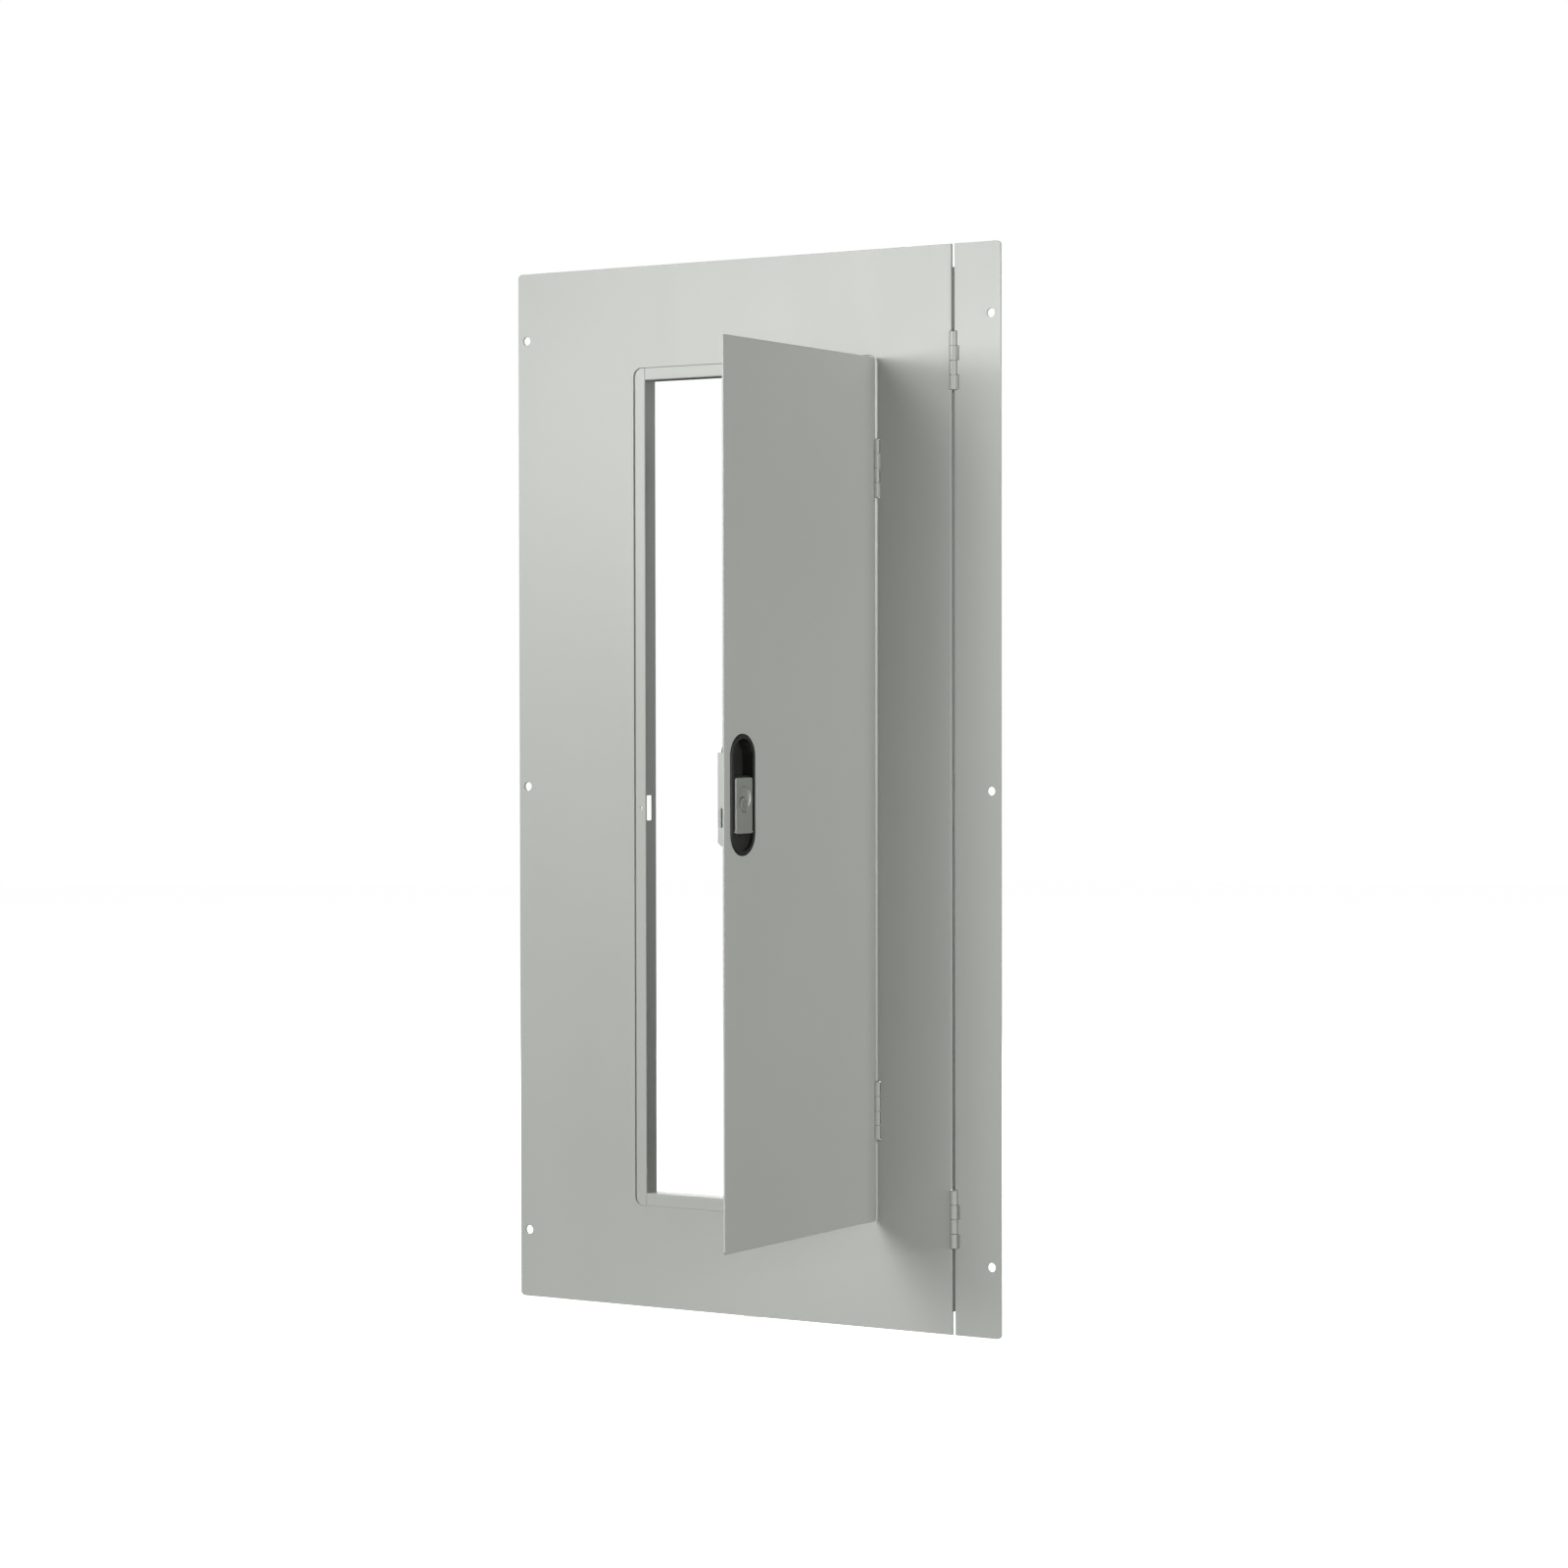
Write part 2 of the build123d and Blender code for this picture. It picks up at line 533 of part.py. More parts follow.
def make_latch_bolt():
    """Sliding bolt: bevelled nose, a shoulder behind the case wall and a slotted shank."""
    nose_u = FREE_U + BOLT_TIP
    shank_front = SHANK_BACK + SHANK_T
    shoulder_top = -LOCK_LOW - LOCK_NUT_R - CAM_CLEAR
    shank_low = PIVOT_V - SHANK_H / 2
    with BuildPart() as latch_bolt:
        with BuildSketch(DOOR.offset(BOLT_FRONT - BOLT_T)):
            with Locations((nose_u + BOLT_LAND / 2, BOLT_Z)):
                Rectangle(BOLT_LAND, BOLT_H)
        extrude(amount=BOLT_T)
        bevel = edges().filter_by(Axis.Z).group_by(Axis.Y)[0].sort_by(Axis.X)[0]
        chamfer(bevel, BOLT_BEVEL)
        with BuildSketch(DOOR.offset(SHANK_BACK)):
            with Locations((SHOULDER_U + SHOULDER_T / 2, (shank_low + shoulder_top) / 2)):
                Rectangle(SHOULDER_T, shoulder_top - shank_low)
        extrude(amount=BOLT_FRONT - SHANK_BACK)
        with BuildSketch(DOOR.offset(SHANK_BACK)):
            with Locations(((SHOULDER_U + SHANK_END) / 2, PIVOT_V)):
                Rectangle(SHANK_END - SHOULDER_U, SHANK_H)
            with Locations((LATCH_U - BOLT_TRAVEL / 2, PIVOT_V)):
                SlotCenterToCenter(
                    CAM_RUN, CAM_SLOT_W, rotation=CAM_SLOPE, mode=Mode.SUBTRACT
                )
        extrude(amount=shank_front - SHANK_BACK)
    latch_bolt.part.label = "latch_bolt"
    export_step(latch_bolt.part, "parts/latch_bolt.step")


def make_latch_case():
    """Folded case over the back of the latch, with a flange bolted to the door."""
    case_u = (CASE_LEFT + CASE_RIGHT) / 2
    case_w = CASE_RIGHT - CASE_LEFT
    case_v = (CASE_UP - CASE_DOWN) / 2
    case_h = CASE_UP + CASE_DOWN
    with BuildPart() as latch_case:
        with BuildSketch(DOOR.offset(CASE_BACK)):
            with Locations((case_u, case_v)):
                Rectangle(case_w, case_h)
        extrude(amount=CASE_DEPTH - DOOR_T)
        corner = edges().filter_by(Axis.Y).group_by(Axis.Z)[0].sort_by(Axis.X)[0]
        chamfer(corner, CASE_CHAMFER)
        mouth = faces().sort_by(Axis.X)[-1]
        offset(amount=-CASE_T, openings=mouth)
        with BuildSketch(DOOR.offset(-DOOR_T)):
            cup_outline(CUP_WALL + CASE_CLEAR)
        extrude(amount=FLOOR_BACK - CASE_CLEAR + DOOR_T, mode=Mode.SUBTRACT)
        with BuildSketch(DOOR.offset(-DOOR_T)):
            deep_outline(CUP_WALL + CASE_CLEAR)
        extrude(amount=DEEP_BACK - CASE_CLEAR + DOOR_T, mode=Mode.SUBTRACT)
        with BuildSketch(DOOR.offset(-DOOR_T)):
            with Locations((CASE_RIGHT + CASE_FLANGE / 2, case_v)):
                Rectangle(CASE_FLANGE, case_h)
            with Locations(*stud_spots()):
                Circle(STUD_R + CASE_CLEAR, mode=Mode.SUBTRACT)
        extrude(amount=-CASE_T)
        with BuildSketch(DOOR.offset(CASE_BACK)):
            with Locations(*SCREW_SPOTS):
                Circle(SCREW_R + CASE_CLEAR)
        extrude(amount=CASE_T, mode=Mode.SUBTRACT)
        with BuildSketch(DOOR.offset(BOLT_FRONT - BOLT_T - CASE_CLEAR)):
            with Locations((CASE_LEFT, BOLT_Z)):
                Rectangle(2 * CASE_T, BOLT_H + 2 * CASE_CLEAR)
        extrude(amount=BOLT_T + 2 * CASE_CLEAR, mode=Mode.SUBTRACT)
    latch_case.part.label = "latch_case"
    export_step(latch_case.part, "parts/latch_case.step")


def stud_spots():
    """Centres of the two weld studs through the case's flange."""
    u = CASE_RIGHT + CASE_FLANGE / 2
    middle = (CASE_UP - CASE_DOWN) / 2
    return ((u, middle + STUD_SPACING / 2), (u, middle - STUD_SPACING / 2))


def make_case_studs():
    """Two threaded studs welded to the back of the door."""
    with BuildPart() as case_studs:
        with BuildSketch(DOOR.offset(-DOOR_T)):
            with Locations(*stud_spots()):
                Circle(STUD_R)
        extrude(amount=-STUD_LEN)
    case_studs.part.label = "case_studs"
    export_step(case_studs.part, "parts/case_studs.step")


def make_case_nuts():
    """Two hexagon nuts that hold the case's flange."""
    with BuildPart() as case_nuts:
        with BuildSketch(DOOR.offset(-DOOR_T - CASE_T)):
            with Locations(*stud_spots()):
                RegularPolygon(NUT_ACROSS / 2, 6, major_radius=False)
                Circle(STUD_R, mode=Mode.SUBTRACT)
        extrude(amount=-NUT_T)
    case_nuts.part.label = "case_nuts"
    export_step(case_nuts.part, "parts/case_nuts.step")


def make_bezel_screws():
    """Three screws through the case into the bezel's bosses."""
    with BuildPart() as bezel_screws:
        with BuildSketch(DOOR.offset(CASE_BACK)):
            with Locations(*SCREW_SPOTS):
                Circle(SCREW_HEAD_R)
        extrude(amount=-SCREW_HEAD_T)
        fillet(faces().group_by(Axis.X)[0].edges(), SCREW_HEAD_T / 2)
        with BuildSketch(DOOR.offset(CASE_BACK)):
            with Locations(*SCREW_SPOTS):
                Circle(SCREW_R)
        extrude(amount=CASE_T + SCREW_BITE)
    bezel_screws.part.label = "bezel_screws"
    export_step(bezel_screws.part, "parts/bezel_screws.step")


def make_lock_cylinder():
    """Lock body fixed in the pan's floor, flush with the paddle's face."""
    with BuildPart() as lock_cylinder:
        with BuildSketch(LOCK.offset(LOCK_BACK)):
            Circle(LOCK_R)
            Circle(PLUG_R + PLUG_PLAY, mode=Mode.SUBTRACT)
        extrude(amount=PADDLE_FRONT - LOCK_BACK)
    lock_cylinder.part.label = "lock_cylinder"
    export_step(lock_cylinder.part, "parts/lock_cylinder.step")


def make_lock_nut():
    """Thin ring nut that clamps the lock body behind the floor."""
    with BuildPart() as lock_nut:
        with BuildSketch(LOCK.offset(FLOOR_BACK)):
            Circle(LOCK_NUT_R)
            Circle(LOCK_R, mode=Mode.SUBTRACT)
        extrude(amount=-LOCK_NUT_T)
    lock_nut.part.label = "lock_nut"
    export_step(lock_nut.part, "parts/lock_nut.step")


def make_lock_plug():
    """Plug that the key turns, with a stud behind for the cam."""
    front = PADDLE_FRONT - PLUG_SUNK
    with BuildPart() as lock_plug:
        with BuildSketch(LOCK.offset(LOCK_BACK - CAM_GAP)):
            Circle(PLUG_R)
        extrude(amount=front - LOCK_BACK + CAM_GAP)
        with BuildSketch(LOCK.offset(front)):
            Rectangle(KEYWAY_W, KEYWAY_H)
        extrude(amount=-KEYWAY_DEPTH, mode=Mode.SUBTRACT)
        with BuildSketch(LOCK.offset(LOCK_BACK - CAM_GAP)):
            Circle(CAM_STUD_R)
        extrude(amount=-2 * CAM_T)
    lock_plug.part.label = "lock_plug"
    export_step(lock_plug.part, "parts/lock_plug.step")


def make_lock_cam():
    """Flat cam on the back of the plug."""
    with BuildPart() as lock_cam:
        with BuildSketch(LOCK.offset(LOCK_BACK - CAM_GAP)):
            Circle(CAM_W / 2)
            with Locations((CAM_LEN / 2, 0)):
                Rectangle(CAM_LEN, CAM_W / 2)
            Circle(CAM_STUD_R, mode=Mode.SUBTRACT)
        extrude(amount=-CAM_T)
    lock_cam.part.label = "lock_cam"
    export_step(lock_cam.part, "parts/lock_cam.step")


def make_cam_clip():
    """Retaining ring that keeps the cam on the plug's stud."""
    with BuildPart() as cam_clip:
        with BuildSketch(LOCK.offset(LOCK_BACK - CAM_GAP - CAM_T)):
            Circle(CLIP_R)
            Circle(CAM_STUD_R, mode=Mode.SUBTRACT)
        extrude(amount=-CAM_T)
    cam_clip.part.label = "cam_clip"
    export_step(cam_clip.part, "parts/cam_clip.step")


def make_bolt_spring():
    """Compression spring between the bolt's shank and the case wall."""
    start = SHANK_END + SPRING_WIRE_R
    length = CASE_RIGHT - CASE_T - SPRING_WIRE_R - start
    centre = (
        DOOR_AXIS_X + SHANK_BACK + SPRING_R + SPRING_WIRE_R,
        start - SHEET_T,
        PIVOT_V,
    )
    with BuildPart() as bolt_spring:
        with BuildLine():
            coil = Helix(
                length / SPRING_TURNS, length, SPRING_R, center=centre, direction=(0, 1, 0)
            )
        with BuildSketch(Plane(origin=coil @ 0, z_dir=coil % 0)):
            Circle(SPRING_WIRE_R)
        sweep(path=coil, is_frenet=True)
    bolt_spring.part.label = "bolt_spring"
    export_step(bolt_spring.part, "parts/bolt_spring.step")


def holder_rectangle(inset, mode=Mode.ADD):
    """Rounded outline of the directory holder, inset all round."""
    with Locations((FREE_U + DOOR_W / 2, HOLDER_Z)):
        RectangleRounded(
            HOLDER_W - 2 * inset, HOLDER_H - 2 * inset, HOLDER_R, mode=mode
        )


def make_directory_holder():
    """Frame on the inside of the door with a rebate that traps the circuit directory."""
    with BuildPart() as directory_holder:
        with BuildSketch(DOOR.offset(-DOOR_T)):
            holder_rectangle(0)
            holder_rectangle(HOLDER_RIM, mode=Mode.SUBTRACT)
        extrude(amount=-HOLDER_T)
        with BuildSketch(DOOR.offset(-DOOR_T)):
            holder_rectangle(HOLDER_RIM / 2)
        extrude(amount=-CARD_T, mode=Mode.SUBTRACT)
    directory_holder.part.label = "directory_holder"
    export_step(directory_holder.part, "parts/directory_holder.step")


def make_directory_card():
    """Card lying in the holder's rebate."""
    with BuildPart() as directory_card:
        with BuildSketch(DOOR.offset(-DOOR_T)):
            holder_rectangle(HOLDER_RIM / 2 + CARD_GAP)
        extrude(amount=-CARD_T)
    directory_card.part.label = "directory_card"
    export_step(directory_card.part, "parts/directory_card.step")


os.makedirs("parts", exist_ok=True)
make_side_strip()
make_trim_plate()
make_stile_left()
make_stile_right()
make_rail("rail_top", 1)
make_rail("rail_bottom", -1)
make_trim_hinges()
make_door_hinges()
make_door_panel()
make_latch_bezel()
make_paddle()
make_paddle_pin()
make_latch_bolt()
make_latch_case()
make_case_studs()
make_case_nuts()
make_bezel_screws()
make_lock_cylinder()
make_lock_nut()
make_lock_plug()
make_lock_cam()
make_cam_clip()
make_bolt_spring()
make_directory_holder()
make_directory_card()
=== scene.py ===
"""Looks of a hinged panelboard front: enamelled sheet, hinges, flush paddle latch and lock."""

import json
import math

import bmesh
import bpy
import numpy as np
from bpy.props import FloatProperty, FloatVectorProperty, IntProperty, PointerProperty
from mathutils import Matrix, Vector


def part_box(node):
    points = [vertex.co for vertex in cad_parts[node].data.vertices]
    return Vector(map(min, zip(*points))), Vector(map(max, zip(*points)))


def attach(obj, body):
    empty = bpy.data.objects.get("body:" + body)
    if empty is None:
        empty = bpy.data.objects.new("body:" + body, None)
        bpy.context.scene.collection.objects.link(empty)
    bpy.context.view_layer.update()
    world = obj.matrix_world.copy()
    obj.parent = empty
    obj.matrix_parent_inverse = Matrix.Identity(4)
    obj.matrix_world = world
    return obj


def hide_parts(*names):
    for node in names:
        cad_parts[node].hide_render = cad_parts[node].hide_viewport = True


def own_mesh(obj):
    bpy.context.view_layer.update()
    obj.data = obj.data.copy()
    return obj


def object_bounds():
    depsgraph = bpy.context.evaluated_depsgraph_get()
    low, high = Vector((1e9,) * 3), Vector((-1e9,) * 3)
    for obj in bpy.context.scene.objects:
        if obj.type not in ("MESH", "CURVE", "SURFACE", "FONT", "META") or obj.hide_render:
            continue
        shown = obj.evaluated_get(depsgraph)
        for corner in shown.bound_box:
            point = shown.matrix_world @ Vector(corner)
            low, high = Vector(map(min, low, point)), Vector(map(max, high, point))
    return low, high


bl_info = {
    "name": "Panelboard front",
    "version": (1, 0, 0),
    "blender": (4, 5, 0),
    "location": "3D View > Sidebar > Panel front",
    "description": "Finishes a hinged panelboard front around its packed CAD frame",
    "category": "Object",
}

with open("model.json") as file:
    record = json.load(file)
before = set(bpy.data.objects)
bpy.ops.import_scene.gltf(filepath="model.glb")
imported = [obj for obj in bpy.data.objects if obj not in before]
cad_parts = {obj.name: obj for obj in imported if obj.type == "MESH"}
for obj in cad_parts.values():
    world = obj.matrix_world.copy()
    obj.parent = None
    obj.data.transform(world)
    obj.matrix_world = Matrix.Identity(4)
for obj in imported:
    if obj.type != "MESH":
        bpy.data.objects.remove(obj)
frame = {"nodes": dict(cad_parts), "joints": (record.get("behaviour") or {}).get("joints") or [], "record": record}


def plain(box):
    """A box as two plain lists of numbers."""
    return [[float(value) for value in corner] for corner in box]


CAD_BOX = plain(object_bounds())
BODY_OF = {
    node: body
    for body, nodes in frame["record"]["behaviour"]["bodies"].items()
    for node in nodes
}
SLOT_OF = {part["node"]: part["material_slot"] for part in frame["record"]["subparts"]}


# ------------------------------------------------------------------ shader writing
class Wire:
    """One shader value. Python's arithmetic on it adds Math nodes to its tree."""

    def __init__(self, tree, socket):
        self.tree = tree
        self.socket = socket

    def maths(self, operation, first, second):
        node = self.tree.nodes.new("ShaderNodeMath")
        node.operation = operation
        for slot, value in zip(node.inputs, (first, second)):
            if isinstance(value, Wire):
                self.tree.links.new(value.socket, slot)
            else:
                slot.default_value = value
        return Wire(self.tree, node.outputs[0])

    def __add__(self, other):
        return self.maths("ADD", self, other)

    def __radd__(self, other):
        return self.maths("ADD", other, self)

    def __sub__(self, other):
        return self.maths("SUBTRACT", self, other)

    def __mul__(self, other):
        return self.maths("MULTIPLY", self, other)

    def __rmul__(self, other):
        return self.maths("MULTIPLY", other, self)

    def __gt__(self, other):
        return self.maths("GREATER_THAN", self, other)

    def __lt__(self, other):
        return self.maths("LESS_THAN", self, other)


class Finish:
    """A new node material on one Principled shader, reading Object coordinates."""

    def __init__(self, name, **constants):
        self.material = bpy.data.materials.new(name)
        self.material.use_nodes = True
        self.tree = self.material.node_tree
        self.shader = self.tree.nodes["Principled BSDF"]
        for socket, value in constants.items():
            self.shader.inputs[socket.replace("_", " ")].default_value = value
        self.place = self.node("ShaderNodeTexCoord").at("Object")

    def node(self, kind, settings=None, **values):
        """Adds a node: its settings first, then the values or links of its sockets."""
        node = self.tree.nodes.new(kind)
        for key, value in (settings or {}).items():
            setattr(node, key, value)
        for key, value in values.items():
            socket = node.inputs[int(key[1:])] if key[1:].isdigit() else node.inputs[key]
            if isinstance(value, Wire):
                self.tree.links.new(value.socket, socket)
            else:
                socket.default_value = value
        return Outputs(self.tree, node)

    def noise(self, scale, detail=2.0, roughness=0.5, stretch=(1, 1, 1)):
        """Noise from 0 to 1; scale is in features to the metre, stretch divides it by axis."""
        place = self.node(
            "ShaderNodeVectorMath", {"operation": "MULTIPLY"}, _0=self.place, _1=stretch
        ).at("Vector")
        return self.node(
            "ShaderNodeTexNoise", Vector=place, Scale=scale, Detail=detail, Roughness=roughness
        ).at("Fac")

    def blend(self, factor, first, second):
        """Colour between two colours by a factor."""
        return self.node(
            "ShaderNodeMix", {"data_type": "RGBA"}, _0=factor, _6=first, _7=second
        ).at(2)

    def feed(self, socket, wire):
        self.tree.links.new(wire.socket, self.shader.inputs[socket])

    def bump(self, height, strength, distance):
        wire = self.node(
            "ShaderNodeBump", Height=height, Strength=strength, Distance=distance
        ).at("Normal")
        self.feed("Normal", wire)


class Outputs:
    """The outputs of a node, each handed out as a Wire."""

    def __init__(self, tree, node):
        self.tree = tree
        self.node = node

    def at(self, key):
        return Wire(self.tree, self.node.outputs[key])


def rgba(colour, shade):
    """Opaque colour, its channels multiplied by shade."""
    return (*(channel * shade for channel in colour), 1.0)


def grey_enamel(settings):
    """Baked enamel: faint clouding, fine orange peel and a little drag in the gloss."""
    finish = Finish("grey enamel", IOR=1.5, Coat_Weight=0.12, Coat_Roughness=0.22)
    cloud = finish.noise(7.0, 3.0)
    grain = finish.noise(900.0, 2.0)
    drag = finish.noise(60.0, 3.0, 0.6, stretch=(1, 1, 0.06))
    tone = cloud * 0.6 + grain * 0.25 + drag * 0.15
    finish.feed(
        "Base Color",
        finish.blend(tone, rgba(settings.enamel, 0.94), rgba(settings.enamel, 1.05)),
    )
    finish.feed("Roughness", settings.enamel_roughness + (drag - 0.5) * 0.10 + (cloud - 0.5) * 0.06)
    peel = finish.noise(330.0, 1.5)
    finish.bump(peel * 0.8 + grain * 0.2, 0.05, 0.0004)
    return finish.material


def black_moulding(settings):
    """Spark-textured black plastic, rubbed slightly shinier in patches."""
    finish = Finish("black moulding", IOR=1.46)
    texture = finish.noise(2600.0, 2.0, 0.7)
    rub = finish.noise(55.0, 3.0)
    finish.feed(
        "Base Color",
        finish.blend(rub, rgba(settings.black, 0.8), rgba(settings.black, 1.35)),
    )
    finish.feed("Roughness", 0.46 + (rub - 0.5) * 0.16)
    finish.bump(texture, 0.22, 0.00012)
    return finish.material


def satin_casting(settings):
    """Satin die-cast zinc, drawn upwards in fine lines, with rubbed patches."""
    finish = Finish("satin casting", Metallic=0.7)
    lines = finish.noise(3000.0, 3.0, 0.7, stretch=(1, 1, 0.03))
    patches = finish.noise(120.0, 3.0)
    finish.feed(
        "Base Color",
        finish.blend(
            lines * 0.6 + patches * 0.4, rgba(settings.casting, 0.82), rgba(settings.casting, 1.12)
        ),
    )
    finish.feed("Roughness", 0.5 + (patches - 0.5) * 0.14 + (lines - 0.5) * 0.10)
    finish.bump(lines, 0.12, 0.00008)
    return finish.material


def zinc_plating(settings):
    """Bright zinc plate with a cool bloom and fine scuffs."""
    finish = Finish("zinc plating", Metallic=0.7)
    bloom = finish.noise(160.0, 4.0, 0.6)
    scuff = finish.noise(1400.0, 3.0, 0.6, stretch=(1, 0.15, 1))
    finish.feed(
        "Base Color",
        finish.blend(bloom, rgba(settings.plating, 0.85), rgba(settings.plating, 1.1)),
    )
    finish.feed("Roughness", 0.38 + (bloom - 0.5) * 0.2 + (scuff - 0.5) * 0.12)
    finish.bump(scuff, 0.08, 0.00006)
    return finish.material


def holder_film(settings):
    """Milky moulded plastic of the directory holder."""
    finish = Finish("holder plastic", IOR=1.47, Coat_Weight=0.2, Coat_Roughness=0.12)
    haze = finish.noise(45.0, 3.0)
    finish.feed(
        "Base Color",
        finish.blend(haze, rgba(settings.holder, 0.92), rgba(settings.holder, 1.04)),
    )
    finish.feed("Roughness", 0.24 + haze * 0.14)
    finish.bump(finish.noise(700.0, 2.0), 0.05, 0.0001)
    return finish.material


def ruled_card(settings):
    """Card with plain ruled rows and a middle column, and a little fibre."""
    low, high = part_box("directory_card")
    margin = 0.009
    ink = (0.12, 0.14, 0.17, 1)
    ink_cover = 0.75
    finish = Finish("ruled card", IOR=1.4)
    split = finish.node("ShaderNodeSeparateXYZ", Vector=finish.place)
    across = split.at("Y")
    up = split.at("Z")
    fibre = finish.noise(900.0, 4.0, 0.7)
    row = finish.node(
        "ShaderNodeMath", {"operation": "PINGPONG"}, _0=up - low[2], _1=settings.rule_pitch / 2
    ).at("Value")
    centre = (low[1] + high[1]) / 2
    column = finish.node(
        "ShaderNodeMath", {"operation": "ABSOLUTE"}, _0=across - centre
    ).at("Value")
    half = (high[1] - low[1]) / 2 - margin
    inside = (up > low[2] + margin) * (up < high[2] - margin) * (column < half)
    rule = settings.rule_width / 2
    edge = (column > half - 2 * rule) + (column < rule)
    lines = ((row < rule) + edge > 0.5) * inside
    paper = finish.blend(fibre, rgba(settings.card, 0.95), rgba(settings.card, 1.02))
    finish.feed("Base Color", finish.blend(lines * ink_cover, paper, ink))
    finish.feed("Roughness", 0.78 + (fibre - 0.5) * 0.12)
    finish.bump(fibre, 0.15, 0.00008)
    return finish.material


FINISHES = {
    "grey_paint": grey_enamel,
    "black_plastic": black_moulding,
    "satin_silver": satin_casting,
    "zinc_steel": zinc_plating,
    "clear_plastic": holder_film,
    "card": ruled_card,
}


MADE = {}


def finish_for(slot):
    """The material of a record slot, made the first time that it is asked for."""
    if slot not in MADE:
        MADE[slot] = FINISHES[slot](bpy.context.scene.panel_colours)
    return MADE[slot]


# ------------------------------------------------------------------ pieces
SHARP = math.radians(35)  # an edge that turns further than this is broken
FLAT = math.radians(0.5)  # faces that turn less than this are joined
BEVEL_SEGMENTS = 2


def linked(name, data):
    """A new object of some data, in the scene."""
    thing = bpy.data.objects.new(name, data)
    bpy.context.collection.objects.link(thing)
    return thing


def declare(piece, body, slot, replaced=()):
    """Gives a piece its finish and its body, and hides the CAD nodes it stands for."""
    piece.data.materials.clear()
    piece.data.materials.append(finish_for(slot))
    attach(piece, body)
    if replaced:
        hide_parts(*replaced)


def softened(node, width):
    """A node's own shape with its doubles merged and its sharp edges broken by width."""
    mesh = frame["nodes"][node].data.copy()
    mesh.name = f"{node}_sheet"
    work = bmesh.new()
    work.from_mesh(mesh)
    bmesh.ops.remove_doubles(work, verts=work.verts, dist=1e-6)
    bmesh.ops.dissolve_limit(work, angle_limit=FLAT, verts=work.verts, edges=work.edges)
    work.to_mesh(mesh)
    work.free()
    mesh.shade_smooth()
    mesh.set_sharp_from_angle(angle=SHARP)
    piece = linked(f"{node}_finished", mesh)
    edge = piece.modifiers.new("Broken edge", "BEVEL")
    edge.width = width
    edge.segments = BEVEL_SEGMENTS
    edge.limit_method = "ANGLE"
    edge.angle_limit = SHARP
    edge.harden_normals = True
    declare(piece, BODY_OF[node], SLOT_OF[node], (node,))


def quads_between(index):
    """Quads between the neighbouring rows and columns of a grid of point numbers."""
    return np.stack(
        [index[:-1, :-1], index[1:, :-1], index[1:, 1:], index[:-1, 1:]], axis=-1
    ).reshape(-1, 4)


def grid_mesh(name, points, around=False, along=False, flip=False):
    """Mesh of a grid of points, rows by columns, closed round either way if asked."""
    rows, columns = points.shape[:2]
    index = np.arange(rows * columns).reshape(rows, columns)
    if along:
        index = np.vstack([index, index[:1]])
    if around:
        index = np.hstack([index, index[:, :1]])
    quads = quads_between(index)
    if flip:
        quads = quads[:, ::-1]
    mesh = bpy.data.meshes.new(name)
    mesh.from_pydata(points.reshape(-1, 3).tolist(), [], quads.tolist())
    mesh.shade_smooth()
    return mesh


def placed(name, mesh, body, slot, replaced=()):
    """A new piece from a mesh, declared."""
    piece = linked(name, mesh)
    declare(piece, body, slot, replaced)
    return piece


def merge_poles(mesh):
    """Joins points that lie together, so that each pole is one point, and shades smooth."""
    work = bmesh.new()
    work.from_mesh(mesh)
    bmesh.ops.remove_doubles(work, verts=work.verts, dist=1e-7)
    work.to_mesh(mesh)
    work.free()
    mesh.shade_smooth()


def closed_mesh(name, points, poles=False):
    """Mesh of a grid closed round both ways, or with a pole at each end, faces outwards.

    The sum of the corners' triple products is six times the volume, and its sign says which
    way the faces point. A pole is a row whose points all lie together, and they are merged.
    """
    above = np.roll(points, -1, axis=0)
    beside = np.roll(points, -1, axis=1)
    across = np.roll(above, -1, axis=1)
    first = np.einsum("ijk,ijk->", points, np.cross(above, across))
    second = np.einsum("ijk,ijk->", points, np.cross(across, beside))
    mesh = grid_mesh(name, points, around=True, along=not poles, flip=first + second < 0)
    if poles:
        merge_poles(mesh)
    return mesh


def rounded_ring(width, height, corner, count=240):
    """Points evenly round a rectangle whose corners are quarter circles of the given radius."""
    corner_points = 12
    corner = max(corner, 1e-5)
    quarters = np.arange(4)[:, None] * math.pi / 2
    turn = np.linspace(0, math.pi / 2, corner_points)[None, :] + quarters
    signs = np.array([[1, 1], [-1, 1], [-1, -1], [1, -1]])
    centres = signs * np.array([width / 2 - corner, height / 2 - corner])
    arcs = centres[:, None, :] + corner * np.stack([np.cos(turn), np.sin(turn)], axis=-1)
    path = arcs.reshape(-1, 2)
    path = np.vstack([path, path[:1]])
    run = np.concatenate([[0], np.cumsum(np.hypot(*np.diff(path, axis=0).T))])
    spots = np.linspace(0, run[-1], count, endpoint=False)
    return np.stack([np.interp(spots, run, path[:, 0]), np.interp(spots, run, path[:, 1])], axis=-1)


